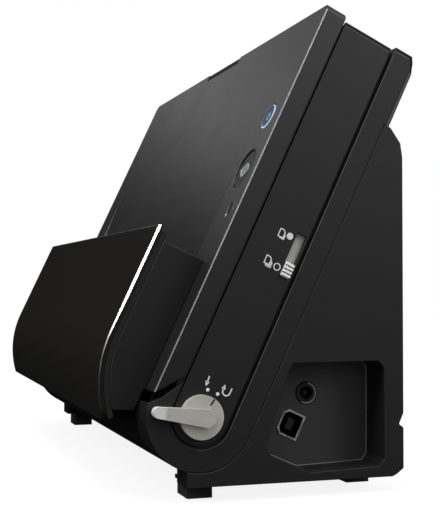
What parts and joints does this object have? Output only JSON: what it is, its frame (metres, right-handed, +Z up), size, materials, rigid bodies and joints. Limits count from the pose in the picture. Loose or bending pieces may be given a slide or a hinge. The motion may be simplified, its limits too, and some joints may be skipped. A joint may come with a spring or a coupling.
{
  "type": "document scanner",
  "caption": "Upright sheet-fed document scanner: leaning slab body with an opening front unit, curved eject panel, side knob and feed lever, on a triangular housing.",
  "frame": {"origin": "middle of the footprint's box, on the surface the feet stand on", "axes": "+Z up, front towards -Y, the knob's side towards +X"},
  "size_m": [0.3048, 0.144, 0.2202],
  "materials": {
    "rear_housing": "fine-grained charcoal moulding",
    "bottom_cover": "fine-grained charcoal moulding",
    "base_plate": "black-coated sheet",
    "foot_front_right": "black rubber",
    "foot_front_left": "black rubber",
    "foot_rear_right": "black rubber",
    "foot_rear_left": "black rubber",
    "main_board": "green solder mask",
    "power_inlet": "black socket body",
    "data_socket": "plated shell",
    "data_socket_tongue": "black insulator",
    "right_side_frame": "zinc-plated sheet",
    "left_side_frame": "zinc-plated sheet",
    "hinge_pin_right": "turned pin",
    "hinge_pin_left": "turned pin",
    "right_side_panel": "satin charcoal moulding",
    "left_side_panel": "satin charcoal moulding",
    "feed_motor": "plated can",
    "drive_belt": "black belt",
    "rear_guide_plate": "smooth charcoal moulding",
    "rear_image_sensor": "sensor housing",
    "rear_sensor_glass": "clear glass",
    "front_cover": "satin dark grey moulding",
    "front_guide_plate": "smooth charcoal moulding",
    "front_image_sensor": "sensor housing",
    "front_sensor_glass": "clear glass",
    "control_board": "green solder mask",
    "status_window": "smoked light window",
    "power_light_ring": "blue light guide",
    "eject_panel": "high-gloss black",
    "eject_panel_back": "charcoal moulding",
    "eject_tray": "satin charcoal moulding",
    "open_lever": "charcoal moulding",
    "latch_bar": "steel bar",
    "power_button": "dark button with blue light ring",
    "start_button": "dark button",
    "eject_support": "charcoal moulding",
    "feed_selection_lever": "pale grey grip",
    "selector_shutter": "grey strip",
    "eject_path_knob": "pale warm grey knob",
    "eject_path_flap": "charcoal moulding",
    "feed_shaft": "ground shaft",
    "feed_roller": "grey rubber",
    "feed_pulley": "black pulley",
    "registration_shaft": "ground shaft",
    "registration_roller": "grey rubber",
    "registration_pulley": "black pulley",
    "eject_shaft": "ground shaft",
    "eject_roller": "grey rubber",
    "eject_pulley": "black pulley",
    "motor_pulley": "turned pulley",
    "separation_roller": "grey rubber",
    "registration_pinch_roller": "grey rubber",
    "eject_pinch_roller": "grey rubber",
    "feed_support": "charcoal moulding",
    "feed_extension": "charcoal moulding",
    "document_guide_right": "charcoal moulding",
    "document_guide_left": "charcoal moulding",
    "guide_pinion": "natural acetal"
  },
  "bodies": {
    "base": {"rear_housing": "rear_housing", "bottom_cover": "bottom_cover", "base_plate": "base_plate", "foot_front_right": "foot_front_right", "foot_front_left": "foot_front_left", "foot_rear_right": "foot_rear_right", "foot_rear_left": "foot_rear_left", "main_board": "main_board", "power_inlet": "power_inlet", "data_socket": "data_socket", "data_socket_tongue": "data_socket_tongue", "right_side_frame": "right_side_frame", "left_side_frame": "left_side_frame", "hinge_pin_right": "hinge_pin_right", "hinge_pin_left": "hinge_pin_left", "right_side_panel": "right_side_panel", "left_side_panel": "left_side_panel", "feed_motor": "feed_motor", "drive_belt": "drive_belt", "rear_guide_plate": "rear_guide_plate", "rear_image_sensor": "rear_image_sensor", "rear_sensor_glass": "rear_sensor_glass"},
    "front_unit": {"front_cover": "front_cover", "front_guide_plate": "front_guide_plate", "front_image_sensor": "front_image_sensor", "front_sensor_glass": "front_sensor_glass", "control_board": "control_board", "status_window": "status_window", "power_light_ring": "power_light_ring", "eject_panel": "eject_panel", "eject_panel_back": "eject_panel_back", "eject_tray": "eject_tray"},
    "latch": {"open_lever": "open_lever", "latch_bar": "latch_bar"},
    "power_button": {"power_button": "power_button"},
    "start_button": {"start_button": "start_button"},
    "eject_support": {"eject_support": "eject_support"},
    "feed_selector": {"feed_selection_lever": "feed_selection_lever", "selector_shutter": "selector_shutter"},
    "path_selector": {"eject_path_knob": "eject_path_knob", "eject_path_flap": "eject_path_flap"},
    "feed_drive": {"feed_shaft": "feed_shaft", "feed_roller": "feed_roller", "feed_pulley": "feed_pulley"},
    "registration_drive": {"registration_shaft": "registration_shaft", "registration_roller": "registration_roller", "registration_pulley": "registration_pulley"},
    "eject_drive": {"eject_shaft": "eject_shaft", "eject_roller": "eject_roller", "eject_pulley": "eject_pulley"},
    "motor_spindle": {"motor_pulley": "motor_pulley"},
    "separation_idler": {"separation_roller": "separation_roller"},
    "registration_idler": {"registration_pinch_roller": "registration_pinch_roller"},
    "eject_idler": {"eject_pinch_roller": "eject_pinch_roller"},
    "feed_support": {"feed_support": "feed_support"},
    "feed_extension": {"feed_extension": "feed_extension"},
    "guide_right": {"document_guide_right": "document_guide_right"},
    "guide_left": {"document_guide_left": "document_guide_left"},
    "guide_pinion": {"guide_pinion": "guide_pinion"}
  },
  "joints": [
    {"name": "front_unit_hinge", "type": "hinge", "parent": "base", "child": "front_unit", "pos_m": [-0.0024, -0.04895, 0.0375], "axis": [1, 0, 0], "range_deg": [0, 50]},
    {"name": "latch_turn", "type": "hinge", "parent": "front_unit", "child": "latch", "pos_m": [-0.0024, 0.02897, 0.20309], "axis": [-1, 0, 0], "range_deg": [0, 20], "stiffness_Nm_per_rad": 0.05},
    {"name": "power_button_press", "type": "slide", "parent": "front_unit", "child": "power_button", "axis": [0, 0.9048, -0.4258], "range_m": [0, 0.001], "stiffness_N_per_m": 400},
    {"name": "start_button_press", "type": "slide", "parent": "front_unit", "child": "start_button", "axis": [0, 0.9048, -0.4258], "range_m": [0, 0.001], "stiffness_N_per_m": 400},
    {"name": "eject_support_slide", "type": "slide", "parent": "front_unit", "child": "eject_support", "axis": [0, 0.4258, 0.9048], "range_m": [0, 0.036]},
    {"name": "feed_selector_slide", "type": "slide", "parent": "base", "child": "feed_selector", "axis": [0, 0.4258, 0.9048], "range_m": [0, 0.013]},
    {"name": "path_selector_turn", "type": "hinge", "parent": "base", "child": "path_selector", "pos_m": [-0.0024, -0.03059, 0.0366], "axis": [1, 0, 0], "range_deg": [0, 24.3]},
    {"name": "feed_drive_turn", "type": "hinge", "parent": "base", "child": "feed_drive", "pos_m": [-0.0024, 0.01777, 0.11552], "axis": [1, 0, 0], "continuous": true},
    {"name": "registration_drive_turn", "type": "hinge", "parent": "base", "child": "registration_drive", "pos_m": [-0.0024, 0.00398, 0.09327], "axis": [1, 0, 0], "continuous": true},
    {"name": "eject_drive_turn", "type": "hinge", "parent": "base", "child": "eject_drive", "pos_m": [-0.0024, -0.0173, 0.04803], "axis": [1, 0, 0], "continuous": true},
    {"name": "motor_turn", "type": "hinge", "parent": "base", "child": "motor_spindle", "pos_m": [-0.0024, 0.03717, 0.08429], "axis": [1, 0, 0], "continuous": true},
    {"name": "separation_turn", "type": "hinge", "parent": "front_unit", "child": "separation_idler", "pos_m": [-0.0024, 0.00121, 0.12331], "axis": [1, 0, 0], "continuous": true},
    {"name": "registration_idler_turn", "type": "hinge", "parent": "front_unit", "child": "registration_idler", "pos_m": [-0.0024, -0.00714, 0.09851], "axis": [1, 0, 0], "continuous": true},
    {"name": "eject_idler_turn", "type": "hinge", "parent": "front_unit", "child": "eject_idler", "pos_m": [-0.0024, -0.02843, 0.05327], "axis": [1, 0, 0], "continuous": true},
    {"name": "feed_support_slide", "type": "slide", "parent": "base", "child": "feed_support", "axis": [0, 0.4258, 0.9048], "range_m": [0, 0.06]},
    {"name": "feed_extension_slide", "type": "slide", "parent": "feed_support", "child": "feed_extension", "axis": [0, 0.4258, 0.9048], "range_m": [0, 0.05]},
    {"name": "guide_right_slide", "type": "slide", "parent": "base", "child": "guide_right", "axis": [-1, 0, 0], "range_m": [0, 0.06]},
    {"name": "guide_left_slide", "type": "slide", "parent": "base", "child": "guide_left", "axis": [1, 0, 0], "range_m": [0, 0.06]},
    {"name": "guide_pinion_turn", "type": "hinge", "parent": "base", "child": "guide_pinion", "pos_m": [-0.0024, 0.03727, 0.17376], "axis": [0, -0.9048, 0.4258], "range_deg": [0, 575]}
  ],
  "couplings": [
    {"joint": "registration_drive_turn", "follows": "feed_drive_turn", "ratio": 1.3333},
    {"joint": "eject_drive_turn", "follows": "feed_drive_turn", "ratio": 1.3333},
    {"joint": "motor_turn", "follows": "feed_drive_turn", "ratio": 1.6},
    {"joint": "guide_left_slide", "follows": "guide_right_slide", "ratio": 1},
    {"joint": "guide_pinion_turn", "follows": "guide_right_slide", "rad_per_m": 166.67}
  ]
}
